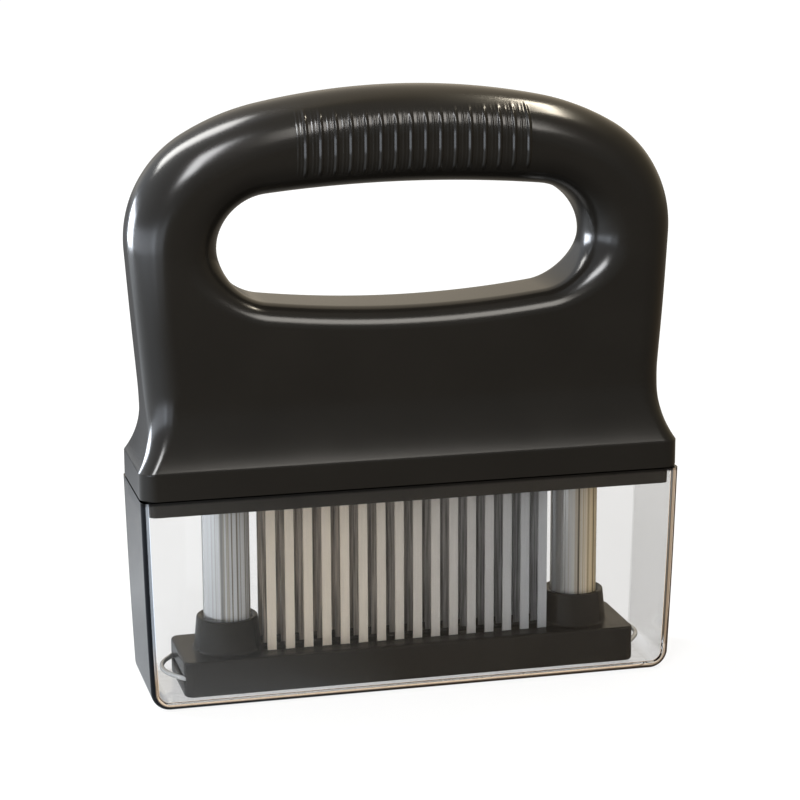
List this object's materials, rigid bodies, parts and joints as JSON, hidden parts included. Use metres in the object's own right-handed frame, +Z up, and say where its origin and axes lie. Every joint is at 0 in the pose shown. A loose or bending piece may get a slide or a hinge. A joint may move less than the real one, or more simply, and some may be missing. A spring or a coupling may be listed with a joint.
{
  "type": "blade meat tenderizer",
  "caption": "Hand-held meat tenderizer: D-shaped handle over rows of needle-like flat blades, with a spring-loaded guard plate on two posts and a clear storage cover.",
  "frame": {"origin": "middle of the cover's underside", "axes": "+X to the right along the handle, +Y to the back, +Z up from the cover to the grip"},
  "size_m": [0.15, 0.035, 0.165],
  "materials": {
    "handle_plastic": "satin-gloss moulded black, fine grain",
    "black_plastic": "smooth moulded black",
    "bush_plastic": "plain moulded bearing plastic",
    "clear_plastic": "clear injection-moulded plastic, polished",
    "blade_steel": "stamped stainless, fine along-blade grain",
    "steel_strip": "plain cold-rolled",
    "polished_tube": "polished drawn tube",
    "spring_wire": "drawn wire",
    "turned_steel": "turned",
    "screw_steel": "zinc plated"
  },
  "bodies": {
    "cover": {"clear_cover": "clear_plastic"},
    "handle": {"handle_front_shell": "handle_plastic", "handle_rear_shell": "handle_plastic", "base_plate": "black_plastic", "blade_holder": "black_plastic", "blade_clamp_plate": "steel_strip", "blade_row_front": "blade_steel", "blade_row_middle": "blade_steel", "blade_row_rear": "blade_steel", "guide_bush_left": "bush_plastic", "guide_bush_right": "bush_plastic", "spring_rod_left": "turned_steel", "spring_rod_right": "turned_steel", "base_screws": "screw_steel", "shell_screws": "screw_steel", "clamp_screws": "screw_steel"},
    "guard": {"guard_plate": "black_plastic", "guide_post_left": "polished_tube", "guide_post_right": "polished_tube", "post_plug_left": "bush_plastic", "post_plug_right": "bush_plastic", "post_cap_left": "bush_plastic", "post_cap_right": "bush_plastic", "spring_left": "spring_wire", "spring_right": "spring_wire", "retaining_clip_left": "spring_wire", "retaining_clip_right": "spring_wire"}
  },
  "joints": [
    {"name": "lift_out_of_cover", "type": "slide", "parent": "cover", "child": "handle", "axis": [0, 0, 1], "range_m": [0, 0.08]},
    {"name": "guard_slide", "type": "slide", "parent": "handle", "child": "guard", "axis": [0, 0, 1], "range_m": [0, 0.028], "stiffness_N_per_m": 500, "springref_m": -0.02, "deforming": ["spring_left", "spring_right"]}
  ]
}
